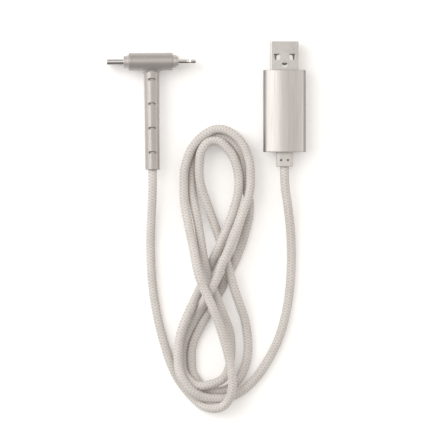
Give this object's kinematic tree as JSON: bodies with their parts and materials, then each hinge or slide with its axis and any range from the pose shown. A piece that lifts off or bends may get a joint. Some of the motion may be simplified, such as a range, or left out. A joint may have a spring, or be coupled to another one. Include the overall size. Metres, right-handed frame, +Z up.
{
  "type": "charging cable",
  "caption": "Braided charging cable in a figure-of-eight hank, with a flat host plug in an oval barrel and a T-shaped head that has an oval plug and a tab plug.",
  "frame": {"origin": "on the surface that the cable lies on, under the middle of the box round its two ends", "axes": "+X from the T head to the host plug, +Y the way the host plug points, +Z up"},
  "size_m": [0.0842, 0.1573, 0.0148],
  "materials": {
    "nickel_shell": "satin nickel plate",
    "satin_aluminium": "satin, brushed along the barrel",
    "grey_moulding": "smooth satin",
    "white_insulator": "smooth",
    "chip_black": "matte",
    "gold_contacts": "thin gold plate",
    "circuit_board": "solder mask",
    "cord_jacket": "smooth",
    "wire_insulation": "smooth",
    "braided_cord": "woven light grey textile braid"
  },
  "bodies": {
    "root": {"host_shell": "nickel_shell", "host_contact_block": "white_insulator", "host_contacts": "gold_contacts", "barrel_sleeve": "satin_aluminium", "host_front_bezel": "grey_moulding", "host_inner_mould": "grey_moulding", "host_strain_relief": "grey_moulding", "host_cord_core": "cord_jacket", "host_crimp_ferrule": "nickel_shell", "host_wires": "wire_insulation", "tee_body": "grey_moulding", "tee_inner_mould": "white_insulator", "tee_board": "circuit_board", "tee_board_chips": "chip_black", "tee_crimp_ferrule": "nickel_shell", "tee_cord_core": "cord_jacket", "tee_wires": "wire_insulation", "oval_plug_shell": "nickel_shell", "oval_plug_insert": "chip_black", "oval_plug_contacts": "gold_contacts", "oval_plug_latches": "nickel_shell", "oval_plug_collar": "grey_moulding", "tab_plug_body": "nickel_shell", "tab_plug_inserts": "white_insulator", "tab_plug_contacts": "gold_contacts", "tab_plug_collar": "grey_moulding", "cord_head_lead": "braided_cord", "cord_hank": "braided_cord", "cord_host_lead": "braided_cord"}
  },
  "joints": []
}
